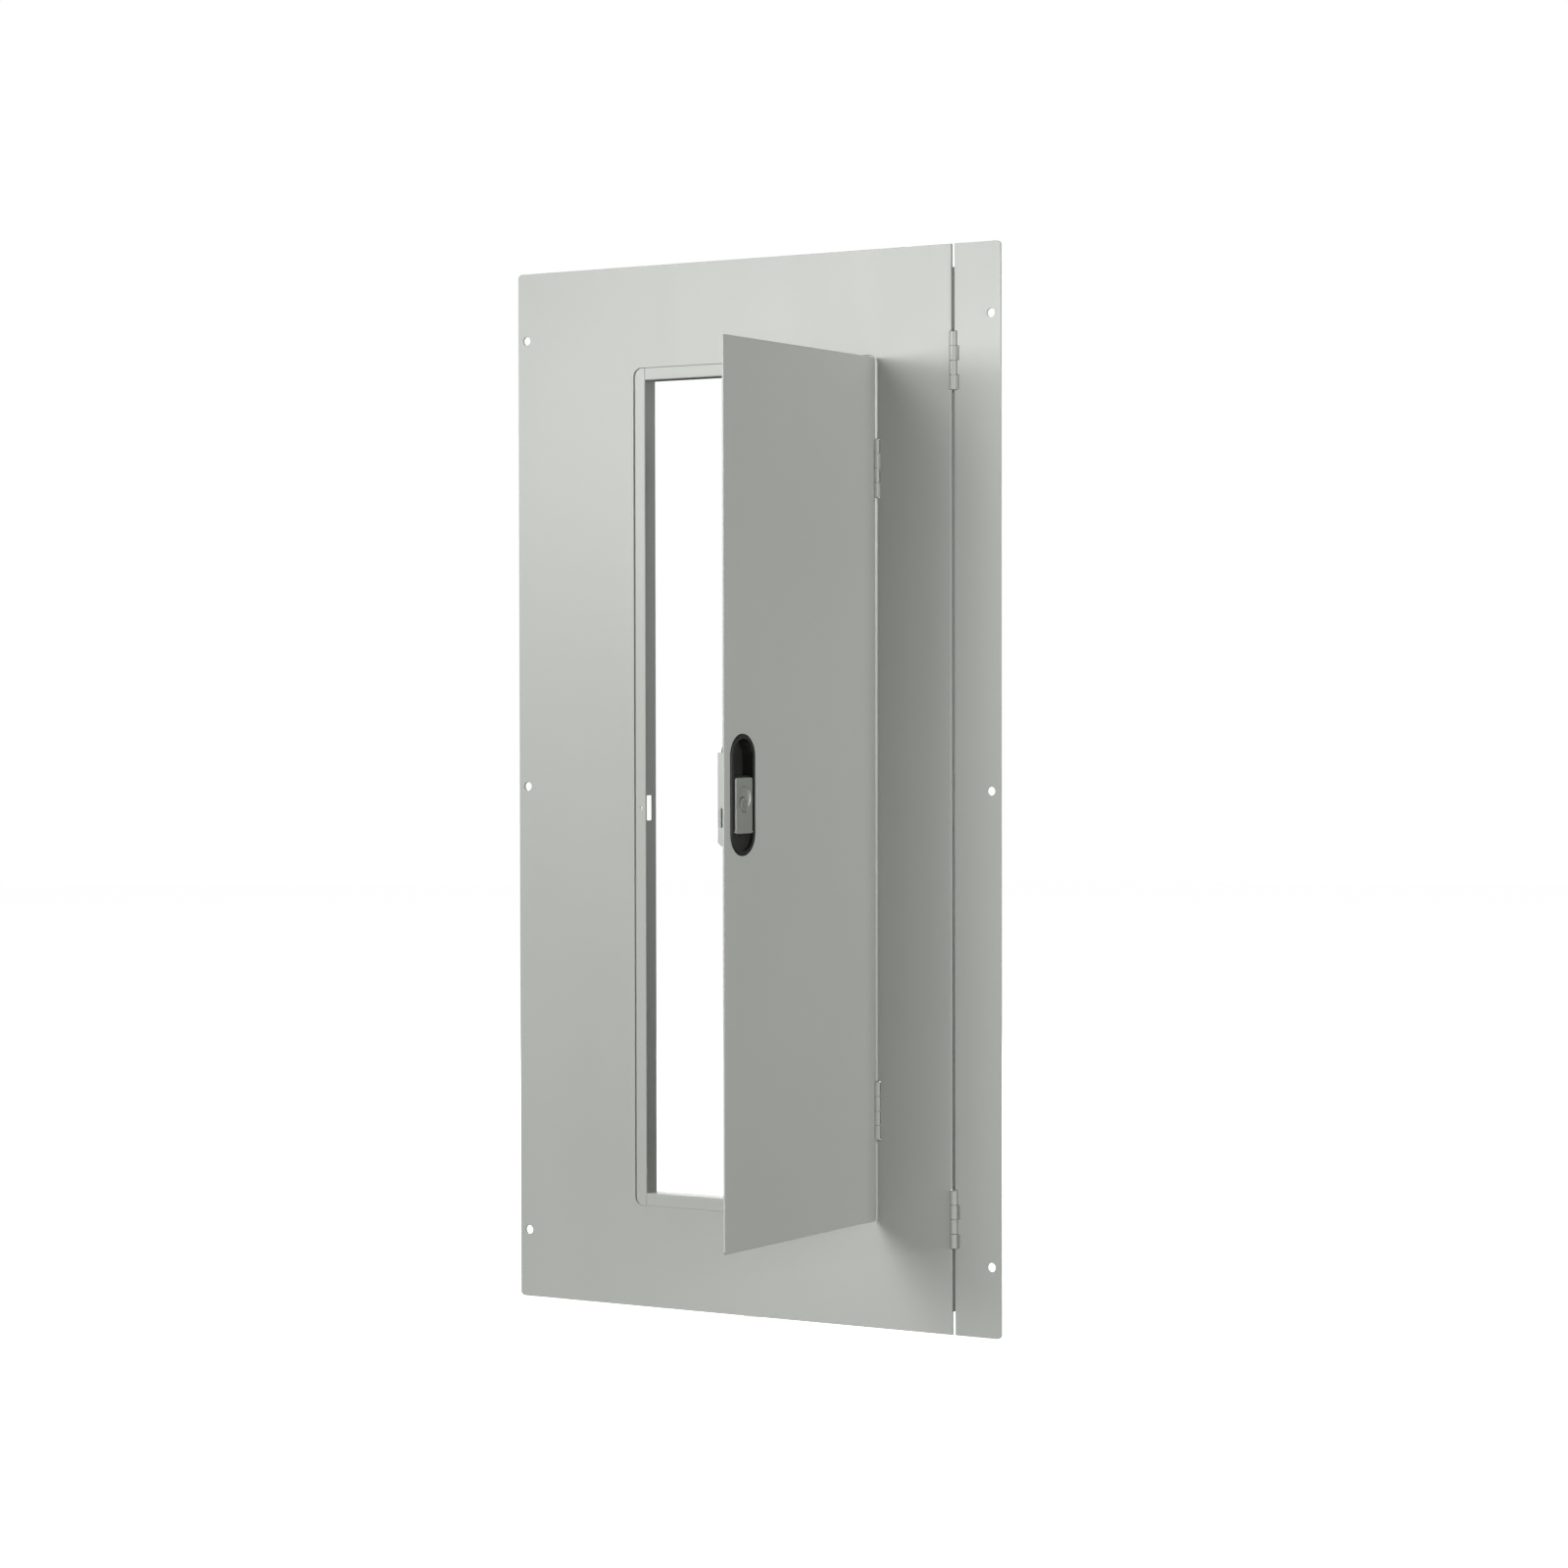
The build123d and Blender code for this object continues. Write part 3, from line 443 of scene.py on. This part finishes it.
def paddle_plate(front, middle, size, lock, lock_r, settings):
    """Paddle's slab: rings round the lock hole carried out to the rounded rectangle.

    On the front, the rings go evenly from the hole's circle to the outline. Their depth is
    dish_depth x the square root of (1 - (d / dish_r) squared), and 0 where that is negative,
    d being the distance from the dish's centre. The outline then turns over a quarter circle,
    runs down the side, turns again and comes back to the hole behind.
    """
    width, height, thick = size
    face_rings, edge_rings, back_rings = 44, 6, 4
    edge = settings.paddle_edge
    turn = np.linspace(0, math.pi / 2, edge_rings)
    insets = np.concatenate([edge * (1 - np.sin(turn)), edge * (1 - np.cos(turn))])
    depths = np.concatenate([edge * (1 - np.cos(turn)), thick - edge * (1 - np.sin(turn))])
    rings = np.stack(
        [
            rounded_ring(width - 2 * inset, height - 2 * inset, settings.paddle_corner - inset)
            for inset in insets
        ]
    ) + np.array(middle)
    away = rings[0] - np.array(lock)
    hole = np.array(lock) + lock_r * away / np.linalg.norm(away, axis=1, keepdims=True)
    share = np.linspace(0, 1, face_rings, endpoint=False)[:, None, None]
    face = hole + share * (rings[0] - hole)
    gap = np.hypot(*(face - np.array([middle[0], settings.dish_height])).transpose(2, 0, 1))
    slope = np.clip(1 - (gap / settings.dish_r) ** 2, 0, 1)
    dish = settings.dish_depth * np.sqrt(slope)
    behind = hole + np.linspace(0.9, 0, back_rings)[:, None, None] * (rings[-1] - hole)
    flat = np.concatenate([face, rings, behind])
    depth = np.concatenate(
        [
            dish,
            np.broadcast_to(depths[:, None], rings.shape[:2]),
            np.full(behind.shape[:2], thick),
        ]
    )
    return np.stack([front - depth, flat[..., 0], flat[..., 1]], axis=-1)


def bar(start, end, width, edge):
    """Square bar with rounded edges: one rounded ring carried from start to end.

    The first and last rings shrink to a point, which closes both ends.
    """
    start, end = np.array(start), np.array(end)
    along = (end - start) / np.linalg.norm(end - start)
    side = np.array([0.0, 1.0, 0.0])
    third = np.cross(along, side)
    ring = rounded_ring(width, width, edge, count=48)
    share = np.array([0, 0, 0.04, 0.25, 0.5, 0.75, 0.96, 1, 1])[:, None, None]
    swell = np.array([0, 0.85, 1, 1, 1, 1, 1, 0.85, 0])[:, None, None]
    around = ring[:, :1] * side + ring[:, 1:] * third
    return start + share * (end - start) + swell * around


def coil(low, high, wire_r, turns):
    """Compression spring along Y: a circle carried along a helix between two corners.

    Share s of the path turns by 2 pi x turns x s. Its height goes as s - sin(4 pi s) / 25,
    which crowds the coils at both ends and halfway. The wire shrinks to a point at each end.
    """
    points_a_turn = 40
    tip_slope = 400
    share = np.linspace(0, 1, points_a_turn * turns)
    centre = (low + high) / 2
    reach = (high[0] - low[0]) / 2 - wire_r
    turn = 2 * math.pi * turns * share
    rise = share - np.sin(4 * math.pi * share) / 25
    outward = np.stack([np.cos(turn), np.zeros_like(turn), np.sin(turn)], axis=-1)
    height = low[1] + wire_r + rise * (high[1] - low[1] - 2 * wire_r)
    path = reach * outward + np.stack(
        [np.full_like(turn, centre[0]), height, np.full_like(turn, centre[2])], axis=-1
    )
    along = np.gradient(path, axis=0)
    along /= np.linalg.norm(along, axis=1, keepdims=True)
    third = np.cross(along, outward)
    thin = np.clip(np.minimum(share, 1 - share) * tip_slope, 0, 1)[:, None, None]
    spoke = np.linspace(0, 2 * math.pi, 10, endpoint=False)[None, :, None]
    ring = np.cos(spoke) * outward[:, None, :] + np.sin(spoke) * third[:, None, :]
    return path[:, None, :] + wire_r * thin * ring


def weld_marks(name, centres, normal, radius, height):
    """Resistance-weld marks: low rings on a face, each a crater with a raised lip.

    Height over the face is height x sin(2.2 pi r / radius) x (1 - r / radius), at distance r
    from the mark's centre, plus a seat of 0.02 mm, and never below 0.005 mm.
    """
    rings, spokes = 9, 20
    seat, lowest = 2e-5, 5e-6
    reach = np.linspace(0, 1, rings)[:, None] * radius
    turn = np.linspace(0, 2 * math.pi, spokes, endpoint=False)[None, :]
    lift = height * np.sin(2.2 * math.pi * reach / radius) * (1 - reach / radius) + seat
    lift = np.broadcast_to(np.maximum(lift, lowest), (rings, spokes))
    normal = np.array(normal, float)
    side = np.cross(normal, (0, 0, 1.0))
    disc = (
        (reach * np.cos(turn))[..., None] * side
        + (reach * np.sin(turn))[..., None] * np.array([0, 0, 1.0])
        + lift[..., None] * normal
    )
    points = np.array(centres)[:, None, None, :] + disc[None]
    step = rings * spokes
    index = np.arange(step).reshape(rings, spokes)
    index = np.hstack([index, index[:, :1]])
    quads = quads_between(index)[:, ::-1]
    quads = (quads[None] + step * np.arange(len(centres))[:, None, None]).reshape(-1, 4)
    mesh = bpy.data.meshes.new(name)
    mesh.from_pydata(points.reshape(-1, 3).tolist(), [], quads.tolist())
    merge_poles(mesh)
    return mesh


SHEET_NODES = ("side_strip", "trim_plate", "door_panel")
FRAME_NODES = ("stile_left", "stile_right", "rail_top", "rail_bottom")
HINGE_NODES = tuple(node for node in sorted(BODY_OF) if "hinge" in node)
CASE_NODES = ("latch_case", "case_nuts")
LATCH_NODES = ("latch_bezel", "latch_bolt", "lock_cylinder", "lock_nut", "lock_plug", "lock_cam")
PLAIN_NODES = ("case_studs", "bezel_screws", "paddle_pin", "cam_clip")
DIRECTORY_NODES = ("directory_holder", "directory_card")
LEAF_T = 0.0015
STILE_MARGIN = 0.04  # first and last weld marks, from a stile's ends
RAIL_MARGIN = 0.03
LEAF_MARGIN = 0.008
LEAF_MARKS = 3
LEAF_MARK_SHARE = 0.8  # a leaf's mark, as a share of the frame's


# ------------------------------------------------------------------ settings
def colour_setting(label, about, default):
    return FloatVectorProperty(
        name=label, description=about, subtype="COLOR", size=3, min=0, max=1, default=default
    )


def length_setting(label, about, default):
    return FloatProperty(name=label, description=about, unit="LENGTH", default=default, min=0)


class PanelColours(bpy.types.PropertyGroup):
    """Colours and gloss of the front's finishes."""

    enamel: colour_setting("Enamel", "Light grey enamel on every sheet part", (0.375, 0.388, 0.362))
    enamel_roughness: FloatProperty(
        name="Enamel roughness", description="Gloss of the enamel", default=0.42, min=0, max=1
    )
    black: colour_setting("Bezel", "Black moulded plastic of the latch", (0.011, 0.011, 0.009))
    casting: colour_setting("Paddle", "Die-cast paddle and lock", (0.36, 0.38, 0.35))
    plating: colour_setting("Plating", "Zinc-plated bolt, nuts, screws and pins", (0.62, 0.62, 0.60))
    holder: colour_setting("Holder", "Moulded directory holder", (0.72, 0.73, 0.72))
    card: colour_setting("Card", "Circuit directory card", (0.80, 0.79, 0.74))
    rule_pitch: length_setting("Row pitch", "Height of one row of the directory", 0.0085)
    rule_width: length_setting("Rule width", "Width of the directory's printed rules", 0.0004)


class PanelEdges(bpy.types.PropertyGroup):
    """How far sharp edges are broken."""

    sheet: length_setting("Sheet edges", "Radius left on the edges of the sheets", 0.0003)
    small: length_setting("Hinges and frame", "Radius on leaves and angles", 0.0002)
    fine: length_setting("Hardware", "Radius on latch, lock and holder", 0.00015)


class PanelPaddle(bpy.types.PropertyGroup):
    """Shape of the paddle."""

    paddle_edge: length_setting("Edge", "Radius round the paddle's edges", 0.0007)
    paddle_corner: length_setting("Corner", "Radius of the paddle's corners", 0.0018)
    dish_r: length_setting("Dish", "Radius of the fingertip dish", 0.0100)
    dish_depth: length_setting("Dish depth", "Depth of the fingertip dish", 0.0012)
    dish_height: FloatProperty(
        name="Dish height", description="Height of the dish's centre", unit="LENGTH",
        default=-0.0023,
    )
    lock_gap: length_setting("Lock gap", "Space between lock and paddle", 0.0005)
    tail_width: length_setting("Tail", "Width of the tail", 0.0026)
    tail_edge: length_setting("Tail edge", "Radius along the tail's edges", 0.0003)
    tail_lean: FloatProperty(
        name="Tail lean", description="Tail's droop below level", subtype="ANGLE",
        default=math.radians(20),
    )


class PanelSpring(bpy.types.PropertyGroup):
    """Wire of the bolt spring."""

    wire_r: length_setting("Wire", "Radius of the spring's wire", 0.00025)
    turns: IntProperty(name="Turns", description="Coils of the spring", default=5, min=2)


class PanelWelds(bpy.types.PropertyGroup):
    """Size and spacing of the weld marks."""

    radius: length_setting("Mark", "Radius of a weld mark", 0.0026)
    height: length_setting("Lip", "Height of a mark's lip", 0.00015)
    frame_t: length_setting("Frame metal", "Thickness of the frame's angle", 0.0015)
    frame_in: length_setting("Frame inset", "Marks' distance in from the frame's edge", 0.006)
    leaf_in: length_setting("Leaf inset", "Marks' distance in from a leaf's edge", 0.0028)
    count: IntProperty(name="Marks", description="Marks on each stile", default=12, min=2)


class PanelStage(bpy.types.PropertyGroup):
    """Camera and light."""

    azimuth: FloatProperty(
        name="Azimuth", description="Camera's turn to the right of the front, in degrees",
        default=31.19,
    )
    elevation: FloatProperty(
        name="Elevation", description="Camera's pitch below level, in degrees", default=1.072
    )
    roll: FloatProperty(name="Roll", description="Camera's roll, in degrees", default=-0.096)
    lens: FloatProperty(
        name="Lens", description="Focal length on a 36 mm sensor, in mm", default=88.98
    )
    place: FloatVectorProperty(
        name="Camera place", description="Where the camera stands", subtype="TRANSLATION",
        default=(1.8312, -2.9698, 0.0694),
    )
    key: FloatProperty(name="Key", description="Power of the high softbox, W", default=25.0)
    low: FloatProperty(name="Low key", description="Power of the low softbox, W", default=21.0)
    wide: FloatProperty(name="Wide key", description="Power of the wide softbox, W", default=7.5)
    side: FloatProperty(name="Side", description="Power of the softbox at the side, W", default=41.0)
    fill: FloatProperty(name="Fill", description="Power of the right-hand softbox, W", default=16.0)
    back: FloatProperty(name="Back", description="Power of the softbox behind, W", default=34.0)
    foot: FloatProperty(name="Foot", description="Power of the light at the floor, W", default=6.5)
    floor_glow: FloatProperty(
        name="Floor glow", description="Light that the floor gives of its own", default=0.95
    )
    sky: FloatProperty(name="Surround", description="Strength of the pale surround", default=0.04)


# ------------------------------------------------------------------ operators
class PANEL_OT_sheets(bpy.types.Operator):
    """Trim plate, side strip and inner door, with broken edges and enamel"""

    bl_idname = "panel.sheets"
    bl_label = "Sheets"

    def execute(self, context):
        for node in SHEET_NODES:
            softened(node, context.scene.panel_edges.sheet)
        return {"FINISHED"}


class PANEL_OT_angle_frame(bpy.types.Operator):
    """Angle frame round the opening"""

    bl_idname = "panel.angle_frame"
    bl_label = "Angle frame"

    def execute(self, context):
        for node in FRAME_NODES:
            softened(node, context.scene.panel_edges.small)
        return {"FINISHED"}


class PANEL_OT_hinges(bpy.types.Operator):
    """Leaves and pins of the four short piano hinges"""

    bl_idname = "panel.hinges"
    bl_label = "Hinges"

    def execute(self, context):
        for node in HINGE_NODES:
            softened(node, context.scene.panel_edges.small)
        return {"FINISHED"}


class PANEL_OT_latch(bpy.types.Operator):
    """Bezel, bolt, lock and case"""

    bl_idname = "panel.latch"
    bl_label = "Latch"

    def execute(self, context):
        for node in LATCH_NODES + CASE_NODES:
            softened(node, context.scene.panel_edges.fine)
        for node in PLAIN_NODES:
            frame["nodes"][node].data.materials.clear()
            frame["nodes"][node].data.materials.append(finish_for(SLOT_OF[node]))
        return {"FINISHED"}


class PANEL_OT_paddle(bpy.types.Operator):
    """Dished pull paddle with its tail"""

    bl_idname = "panel.paddle"
    bl_label = "Paddle"

    def execute(self, context):
        settings = context.scene.panel_paddle
        low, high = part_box("paddle")
        pin_low, pin_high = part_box("paddle_pin")
        pivot = [(a + b) / 2 for a, b in zip(pin_low, pin_high)]
        thick = 2 * (high[0] - pivot[0])
        foot = pivot[2] - thick / 2
        middle = ((low[1] + high[1]) / 2, (foot + high[2]) / 2)
        lock_low, lock_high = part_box("lock_cylinder")
        lock = ((lock_low[1] + lock_high[1]) / 2, (lock_low[2] + lock_high[2]) / 2)
        lock_r = (lock_high[1] - lock_low[1]) / 2 + settings.lock_gap
        size = (high[1] - low[1], high[2] - foot, thick)
        plate = paddle_plate(high[0], middle, size, lock, lock_r, settings)
        placed("paddle_plate", closed_mesh("paddle_plate", plate), "paddle", "satin_silver", ("paddle",))
        reach = pivot[0] - low[0] - settings.tail_width / 2
        drop = reach * math.tan(settings.tail_lean)
        tip = (low[0] + settings.tail_width / 2, middle[0], pivot[2] - drop)
        root = (pivot[0], middle[0], pivot[2])
        tail = bar(root, tip, settings.tail_width, settings.tail_edge)
        placed("paddle_tail", closed_mesh("paddle_tail", tail, poles=True), "paddle", "satin_silver")
        return {"FINISHED"}


class PANEL_OT_spring(bpy.types.Operator):
    """Bolt spring, a coil of wire between the ends of its box"""

    bl_idname = "panel.spring"
    bl_label = "Bolt spring"

    def execute(self, context):
        settings = context.scene.panel_spring
        low, high = (np.array(corner, float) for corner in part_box("bolt_spring"))
        points = coil(low, high, settings.wire_r, settings.turns)
        wire = closed_mesh("spring_coil", points, poles=True)
        piece = placed("spring_coil", wire, "door", "zinc_steel", ("bolt_spring",))
        travel = next(joint for joint in frame["joints"] if joint["name"] == "bolt_slide")
        length = high[1] - low[1]
        keep = (length - travel["range_m"][1]) / length
        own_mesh(piece)
        return {"FINISHED"}


class PANEL_OT_directory(bpy.types.Operator):
    """Directory holder and its card on the back of the door"""

    bl_idname = "panel.directory"
    bl_label = "Directory"

    def execute(self, context):
        for node in DIRECTORY_NODES:
            softened(node, context.scene.panel_edges.fine)
        return {"FINISHED"}


class PANEL_OT_welds(bpy.types.Operator):
    """Resistance-weld marks on the frame's legs and the hinges' leaves"""

    bl_idname = "panel.welds"
    bl_label = "Weld marks"

    def execute(self, context):
        settings = context.scene.panel_welds
        height = settings.height
        spots = []
        for node, outward in (("stile_left", -1), ("stile_right", 1)):
            low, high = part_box(node)
            x = (low[0] if outward < 0 else high[0]) - outward * settings.frame_in
            rows = np.linspace(low[2] + STILE_MARGIN, high[2] - STILE_MARGIN, settings.count)
            spots += [(x, settings.frame_t, z) for z in rows]
        for node in ("rail_top", "rail_bottom"):
            low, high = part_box(node)
            z = high[2] - settings.frame_in if low[2] > 0 else low[2] + settings.frame_in
            ends = low[0] + RAIL_MARGIN, high[0] - RAIL_MARGIN
            columns = np.linspace(*ends, settings.count // 2)
            spots += [(x, settings.frame_t, z) for x in columns]
        marks = weld_marks("frame_weld_marks", spots, (0, 1, 0), settings.radius, height)
        placed("frame_weld_marks", marks, "trim", "grey_paint")
        radius = settings.radius * LEAF_MARK_SHARE
        for end in ("upper", "lower"):
            low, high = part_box(f"trim_hinge_{end}_strip_leaf")
            rows = np.linspace(low[2] + LEAF_MARGIN, high[2] - LEAF_MARGIN, LEAF_MARKS)
            seats = [(high[0] - settings.leaf_in, high[1], z) for z in rows]
            marks = weld_marks(f"strip_weld_marks_{end}", seats, (0, 1, 0), radius, height)
            placed(f"strip_weld_marks_{end}", marks, "fixed_strip", "grey_paint")
            low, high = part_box(f"trim_hinge_{end}_trim_leaf")
            seats = [(low[0] + settings.leaf_in, high[1], z) for z in rows]
            marks = weld_marks(f"trim_weld_marks_{end}", seats, (0, 1, 0), radius, height)
            placed(f"trim_weld_marks_{end}", marks, "trim", "grey_paint")
            low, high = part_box(f"door_hinge_{end}_door_leaf")
            rows = np.linspace(low[2] + LEAF_MARGIN, high[2] - LEAF_MARGIN, LEAF_MARKS)
            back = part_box("door_panel")[0][0] - LEAF_T
            seats = [(back, low[1] + settings.leaf_in, z) for z in rows]
            marks = weld_marks(f"door_weld_marks_{end}", seats, (-1, 0, 0), radius, height)
            placed(f"door_weld_marks_{end}", marks, "door", "grey_paint")
        return {"FINISHED"}


def bearing(azimuth, elevation, distance):
    """Point at a distance from the origin: azimuth right of the front, elevation above level."""
    turn, lift = math.radians(azimuth), math.radians(elevation)
    level = distance * math.cos(lift)
    return Vector((level * math.sin(turn), -level * math.cos(turn), distance * math.sin(lift)))


FAR_SHARE = 0.6  # far back softbox's power, as a share of the back one's


def softbox(name, power, place, size):
    """Rectangular area light at place, facing the middle of the front."""
    lamp = bpy.data.lights.new(name, "AREA")
    lamp.shape = "RECTANGLE"
    lamp.size, lamp.size_y = size
    lamp.energy = power
    light = linked(name, lamp)
    light.location = place
    light.rotation_euler = (-place).to_track_quat("-Z", "Y").to_euler()
    light.visible_camera = False


class PANEL_OT_stage(bpy.types.Operator):
    """Pale floor, soft light and the camera"""

    bl_idname = "panel.stage"
    bl_label = "Stage"

    def execute(self, context):
        settings = context.scene.panel_stage
        self.floor(CAD_BOX[0][2], settings)
        self.lights(settings)
        self.surround(settings)
        self.camera(settings)
        context.scene.view_settings.view_transform = "Standard"
        return {"FINISHED"}

    def floor(self, lowest, settings):
        """Wide pale level ring under the front: rings by spokes, open for 10 mm round its centre."""
        rings, spokes = 24, 64
        gap = 0.0005
        radius = np.linspace(0.01, 9.0, rings)[:, None]
        turn = np.linspace(0, 2 * math.pi, spokes, endpoint=False)[None, :]
        level = np.full((rings, spokes), lowest - gap)
        points = np.stack([radius * np.cos(turn), radius * np.sin(turn), level], axis=-1)
        mesh = grid_mesh("floor", points, around=True)
        floor = linked("floor", mesh)
        finish = Finish("pale floor", Roughness=0.9, Emission_Strength=settings.floor_glow)
        finish.shader.inputs["Emission Color"].default_value = (1, 1, 1, 1)
        finish.feed(
            "Base Color",
            finish.blend(finish.noise(3.0), (0.86, 0.86, 0.86, 1), (0.9, 0.9, 0.9, 1)),
        )
        mesh.materials.append(finish.material)
        floor.visible_diffuse = False
        floor.visible_glossy = False

    def lights(self, settings):
        softbox("key", settings.key, bearing(-20, 25, 2.8), (1.0, 1.0))
        softbox("low key", settings.low, bearing(-20, 13, 2.0), (1.5, 0.35))
        softbox("wide key", settings.wide, bearing(-30, 11, 2.8), (2.2, 0.5))
        softbox("side", settings.side, bearing(85, 10, 2.6), (1.2, 1.6))
        softbox("fill", settings.fill, bearing(60, 0, 2.8), (1.4, 1.4))
        softbox("back", settings.back, bearing(-152, 20, 2.8), (1.4, 1.4))
        softbox("far back", settings.back * FAR_SHARE, bearing(172, 8, 2.8), (1.4, 1.4))
        softbox("foot", settings.foot, Vector((0.2, -1.05, -0.46)), (1.4, 1.2))

    def surround(self, settings):
        """White surround to look at, which lights the front only faintly."""
        world = bpy.data.worlds.new("surround")
        world.use_nodes = True
        tree = world.node_tree
        sky = tree.nodes["Background"]
        sky.inputs["Color"].default_value = (1, 1, 1, 1)
        seen = Wire(tree, tree.nodes.new("ShaderNodeLightPath").outputs["Is Camera Ray"])
        strength = settings.sky + (1 - settings.sky) * seen
        tree.links.new(strength.socket, sky.inputs["Strength"])
        bpy.context.scene.world = world

    def camera(self, settings):
        lens = bpy.data.cameras.new("camera")
        lens.lens = settings.lens
        lens.sensor_width = 36.0
        camera = linked("camera", lens)
        back = bearing(settings.azimuth, settings.elevation, 1.0)
        turn = back.to_track_quat("Z", "Y").to_matrix().to_4x4()
        roll = Matrix.Rotation(math.radians(settings.roll), 4, "Z")
        camera.matrix_world = Matrix.Translation(settings.place) @ turn @ roll
        bpy.context.scene.camera = camera


class PANEL_PT_front(bpy.types.Panel):
    """Lists the pieces of the front and their settings"""

    bl_label = "Panel front"
    bl_space_type = "VIEW_3D"
    bl_region_type = "UI"
    bl_category = "Panel front"

    def draw(self, context):
        for operator in OPERATORS:
            self.layout.operator(operator.bl_idname)
        for group in GROUPS:
            settings = getattr(context.scene, group)
            for setting in settings.__annotations__:
                self.layout.prop(settings, setting)


OPERATORS = (
    PANEL_OT_sheets,
    PANEL_OT_angle_frame,
    PANEL_OT_hinges,
    PANEL_OT_latch,
    PANEL_OT_paddle,
    PANEL_OT_spring,
    PANEL_OT_directory,
    PANEL_OT_welds,
    PANEL_OT_stage,
)
GROUPS = {
    "panel_colours": PanelColours,
    "panel_edges": PanelEdges,
    "panel_paddle": PanelPaddle,
    "panel_spring": PanelSpring,
    "panel_welds": PanelWelds,
    "panel_stage": PanelStage,
}


def register():
    for group, settings in GROUPS.items():
        bpy.utils.register_class(settings)
        setattr(bpy.types.Scene, group, PointerProperty(type=settings))
    for item in (*OPERATORS, PANEL_PT_front):
        bpy.utils.register_class(item)


def unregister():
    for item in reversed((*OPERATORS, PANEL_PT_front)):
        bpy.utils.unregister_class(item)
    for group, settings in reversed(GROUPS.items()):
        delattr(bpy.types.Scene, group)
        bpy.utils.unregister_class(settings)


def main():
    register()
    for operator in OPERATORS:
        name = operator.bl_idname.split(".")[1]
        getattr(bpy.ops.panel, name)()


if __name__ == "__main__":
    main()
